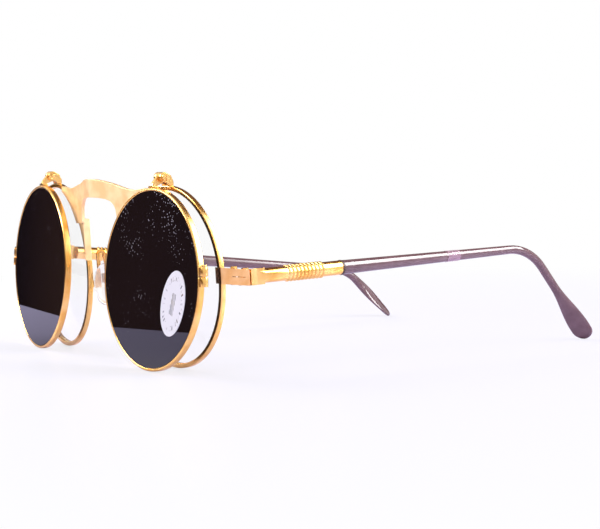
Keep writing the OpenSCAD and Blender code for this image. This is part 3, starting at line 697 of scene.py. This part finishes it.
# Acetate: a deep mauve-brown with slow cloudy changes of tone and a wet-looking polish, which the
# long softbox draws as one white line.
acetate, tree, surface = new_material("acetate_polished", {"IOR": 1.49})
place = add(tree, "ShaderNodeTexCoord")
cloud = add(
    tree, "ShaderNodeTexNoise", {"Scale": 1 / (3 * mm), "Detail": 3.0},
    {"Vector": place.outputs["Object"]},
)
colour = add(tree, "ShaderNodeValToRGB", links={"Fac": cloud.outputs["Fac"]})
colour.color_ramp.elements[0].position = 0.3
colour.color_ramp.elements[0].color = linear("#62474C")
colour.color_ramp.elements[1].position = 0.7
colour.color_ramp.elements[1].color = linear("#71555A")
worn = add(
    tree, "ShaderNodeTexNoise", {"Scale": 1 / (1.2 * mm), "Detail": 3.0},
    {"Vector": place.outputs["Object"]},
)
gloss = add(
    tree, "ShaderNodeMapRange", {"To Min": 0.04, "To Max": 0.16}, {"Value": worn.outputs["Fac"]},
)
tree.links.new(colour.outputs["Color"], surface.inputs["Base Color"])
tree.links.new(gloss.outputs["Result"], surface.inputs["Roughness"])

# Painted shade at the joint: a thin dark brown bead, nearly matte, where the gap between rod and
# sleeve lies in shadow.
gap_shade_paint, tree, surface = new_material("joint_gap_painted_shade", {"Roughness": 0.5})
place = add(tree, "ShaderNodeTexCoord")
grain = add(
    tree, "ShaderNodeTexNoise", {"Scale": 1 / (0.3 * mm)}, {"Vector": place.outputs["Object"]},
)
colour = add(tree, "ShaderNodeValToRGB", links={"Fac": grain.outputs["Fac"]})
colour.color_ramp.elements[0].color = linear("#2B160F")
colour.color_ramp.elements[1].color = linear("#4A2A1C")
tree.links.new(colour.outputs["Color"], surface.inputs["Base Color"])

for name in SIDES:
    tube = eased("temple_sleeve_" + name, "sleeve_" + name, 0.05)
    finished(
        tube, HERE, "temple_" + name, "sleeve_plastic", acetate, "temple_sleeve_" + name, smooth=60,
    )
    # The dark bead is painted shade in the joint's gap.
    bead = lathe("joint_bead_" + name, BEAD_OUTLINE, True, TUBE_STEPS)
    bead_seat = temple_seat[name] @ moved(ROD_X, ROD_LEN, 0)
    finished(bead, bead_seat, "temple_" + name, "sleeve_plastic", gap_shade_paint)
    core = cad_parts["temple_core_" + name]
    core.data.materials.clear()
    core.data.materials.append(gold_plate)

# ---- Film band ----
# A turn of pale film round the left sleeve, left from its wrapping, 4.4 mm wide.
# It is found by its own image point on the sleeve, and hugs the sleeve's taper.
BAND_HALF, BAND_CLEAR, BAND_OUT = 2.2, 0.01, 0.1
SLEEVE_R0, SLEEVE_R1 = 1.9, 1.2
band_spot = seen_place(*IMAGE_POINTS["film band"], [bpy.data.objects["sleeve_left"]])
band_at = (temple_seat["left"].inverted() @ band_spot).y / mm


def sleeve_radius(at):
    """The sleeve's radius at a distance from the hinge, in mm."""
    return SLEEVE_R0 + (SLEEVE_R1 - SLEEVE_R0) * (at - ROD_LEN) / (STRAIGHT - ROD_LEN)


# Thin polypropylene film: milky pink, mostly see-through, with fine wrinkles across it.
wrap_film, tree, surface = new_material(
    "polypropylene_film", {"Base Color": linear("#DDB3C8"), "Roughness": 0.3, "Alpha": 0.34},
)
place = add(tree, "ShaderNodeTexCoord")
folds = add(
    tree, "ShaderNodeTexNoise", {"Scale": 1 / (0.5 * mm), "Detail": 2.0},
    {"Vector": place.outputs["Object"]},
)
relief = add(
    tree, "ShaderNodeBump", {"Strength": 0.4, "Distance": 0.05 * mm},
    {"Height": folds.outputs["Fac"]},
)
tree.links.new(relief.outputs["Normal"], surface.inputs["Normal"])

start_r, end_r = sleeve_radius(band_at - BAND_HALF), sleeve_radius(band_at + BAND_HALF)
band_outline = [
    (start_r + BAND_CLEAR, -BAND_HALF), (start_r + BAND_OUT, -BAND_HALF),
    (end_r + BAND_OUT, BAND_HALF), (end_r + BAND_CLEAR, BAND_HALF),
]
band = lathe("film_band", band_outline, True, TUBE_STEPS)
band_seat = temple_seat["left"] @ moved(ROD_X, band_at, 0)
finished(band, band_seat, "temple_left", "sticker_film", wrap_film)

# ---- Studio ----
# A white card floor and a white room, as the camera, a shiny surface or a clear lens sees them.
# Two soft lamps light the glasses. Cards that only shiny surfaces see, brown, grey and white,
# give the metal and the lenses the reflections that the photograph shows.
FLOOR_SIZE, FLOOR_DROP = 40, 0.02
bpy.ops.object.select_all(action="DESELECT")
bpy.ops.mesh.primitive_plane_add(size=FLOOR_SIZE, location=(0, 0, -FLOOR_DROP * mm))
floor = bpy.context.object
floor.name = "floor"

# White card with a cold tinge, as the lenses mirror it. The camera sees it partly as an even white,
# more so farther out, and partly as lit card, so the background stays white and the shadow shows.
paper, tree, surface = new_material(
    "white_card_floor", {"Base Color": linear("#DDD6FB"), "Roughness": 0.35},
)
place = add(tree, "ShaderNodeTexCoord")
away = add(tree, "ShaderNodeVectorMath", {"operation": "LENGTH"}, {0: place.outputs["Object"]})
share = add(
    tree, "ShaderNodeMapRange",
    {"From Min": 100 * mm, "From Max": 320 * mm, "To Min": 0.74, "To Max": 1.0},
    {"Value": away.outputs["Value"]},
)
light = add(tree, "ShaderNodeLightPath")
sight = add(
    tree, "ShaderNodeMath", {"operation": "MAXIMUM"},
    {0: light.outputs["Is Camera Ray"], 1: light.outputs["Is Transmission Ray"]},
)
glow_share = add(
    tree, "ShaderNodeMath", {"operation": "MULTIPLY"},
    {0: sight.outputs["Value"], 1: share.outputs["Result"]},
)
glow = add(tree, "ShaderNodeEmission", {"Color": linear("#FFFFFF"), "Strength": 1.0})
blend = add(
    tree, "ShaderNodeMixShader",
    links={
        0: glow_share.outputs["Value"], 1: surface.outputs["BSDF"], 2: glow.outputs["Emission"],
    },
)
tree.links.new(blend.outputs["Shader"], tree.nodes["Material Output"].inputs["Surface"])
floor.data.materials.append(paper)

world = bpy.data.worlds.new("white_room")
bpy.context.scene.world = world
world.use_nodes = True
tree = world.node_tree
tree.nodes.clear()
light = add(tree, "ShaderNodeLightPath")
shiny = add(
    tree, "ShaderNodeMath", {"operation": "MAXIMUM"},
    {0: light.outputs["Is Glossy Ray"], 1: light.outputs["Is Transmission Ray"]},
)
seen = add(
    tree, "ShaderNodeMath", {"operation": "MAXIMUM"},
    {0: light.outputs["Is Camera Ray"], 1: shiny.outputs["Value"]},
)
fill = add(tree, "ShaderNodeBackground", {"Color": linear("#FFFFFF"), "Strength": 0.55})
white = add(tree, "ShaderNodeBackground", {"Color": linear("#FFFFFF"), "Strength": 1.0})
both = add(
    tree, "ShaderNodeMixShader",
    links={0: seen.outputs["Value"], 1: fill.outputs["Background"], 2: white.outputs["Background"]},
)
add(tree, "ShaderNodeOutputWorld", links={"Surface": both.outputs["Shader"]})

# The front flag is dark brown, darker toward the right lens, and the dark lenses mirror its edge.
flag_brown, tree, surface = new_material(
    "brown_flag_cloth",
    {
        "Base Color": linear("#000000"), "Roughness": 1.0, "Specular IOR Level": 0.0,
        "Emission Color": linear("#6A4A34"),
    },
)
place = add(tree, "ShaderNodeTexCoord")
along = add(tree, "ShaderNodeSeparateXYZ", None, {0: place.outputs["Object"]})
dim = add(
    tree, "ShaderNodeMapRange",
    {"From Min": -260 * mm, "From Max": -150 * mm, "To Min": 0.15, "To Max": 1.0},
    {"Value": along.outputs["X"]},
)
tree.links.new(dim.outputs["Result"], surface.inputs["Emission Strength"])


def flag(name, path, away, cover):
    """A folding card through a path of points, drawn out by one vector, that only shine sees."""
    bpy.ops.object.select_all(action="DESELECT")
    bpy.ops.mesh.primitive_plane_add(size=mm)
    card = bpy.context.object
    card.name = name
    bpy.ops.object.mode_set(mode="EDIT")
    bpy.ops.mesh.merge(type="CENTER")
    at = Vector((0, 0, 0))
    for i, point in enumerate(path):
        step = Vector(point) * mm - at
        if i == 0:
            bpy.ops.transform.translate(value=step)
        else:
            bpy.ops.mesh.extrude_vertices_move(TRANSFORM_OT_translate={"value": step})
        at += step
    bpy.ops.mesh.select_all(action="SELECT")
    bpy.ops.mesh.extrude_region_move(TRANSFORM_OT_translate={"value": Vector(away) * mm})
    bpy.ops.object.mode_set(mode="OBJECT")
    card.data.materials.append(cover)
    card.visible_camera = False
    card.visible_diffuse = False
    card.visible_shadow = False
    card.visible_transmission = False
    card.visible_volume_scatter = False


flag(
    "front_flag",
    [(-900, 100, 0), (-420, -40, 0), (-300, -111, 0), (-197, -112, 0), (-156, -191, 0),
     (-129, -206, 0), (-60, -250, 0), (200, -500, 0)],
    (0, 0, 85), flag_brown,
)
# The back flag darkens the tops of the rods and rims to brown.
flag_grey, tree, surface = new_material(
    "grey_flag_cloth",
    {
        "Base Color": linear("#4A4042"), "Roughness": 1.0, "Specular IOR Level": 0.0,
        "Emission Color": linear("#6A4A2C"), "Emission Strength": 0.6,
    },
)
flag(
    "back_flag",
    [(90, 100, 545), (-200, 100, 600), (-450, 100, 420), (-560, 100, 40)],
    (0, 1000, 0), flag_grey,
)
# The long softbox draws the white line along the left temple, and is dimmer toward the front,
# where the right temple mirrors it.
softbox_white, tree, surface = new_material(
    "softbox_cloth", {"Base Color": linear("#000000"), "Emission Color": linear("#FFFFFF")},
)
place = add(tree, "ShaderNodeTexCoord")
along = add(tree, "ShaderNodeSeparateXYZ", None, {0: place.outputs["Object"]})
power = add(
    tree, "ShaderNodeMapRange",
    {"From Min": 280 * mm, "From Max": 360 * mm, "To Min": 3.0, "To Max": 20.0},
    {"Value": along.outputs["Y"]},
)
tree.links.new(power.outputs["Result"], surface.inputs["Emission Strength"])
flag(
    "long_softbox",
    [(520, 120, 250), (420, 120, 390), (270, 120, 490), (110, 120, 540)],
    (0, 640, 0), softbox_white,
)
bounce_white, tree, surface = new_material(
    "bounce_cloth",
    {
        "Base Color": linear("#000000"), "Emission Color": linear("#FFFFFF"),
        "Emission Strength": 20.0,
    },
)
flag(
    "front_bounce",
    [(-560, -300, 200), (-480, -420, 420), (-300, -520, 560)],
    (260, -260, 0), bounce_white,
)


def lamp(name, place, aim, size, watts):
    """A soft lamp that points from one place at another, sizes in mm, and is not mirrored."""
    bpy.ops.object.light_add(type="AREA", location=[c * mm for c in place])
    made = bpy.context.object
    made.name = name
    made.data.shape = "RECTANGLE"
    made.data.size = size[0] * mm
    made.data.size_y = size[1] * mm
    made.data.energy = watts
    made.visible_glossy = False
    way = Vector(aim) - Vector(place)
    made.rotation_euler = way.to_track_quat("-Z", "Y").to_euler()


lamp("key_softbox", (420, 260, 420), (30, 0, 20), (300, 500), 4)
lamp("front_softbox", (-330, -150, 300), (-150, -90, 0), (260, 200), 2.1)


bpy.context.scene.view_settings.view_transform = "Standard"
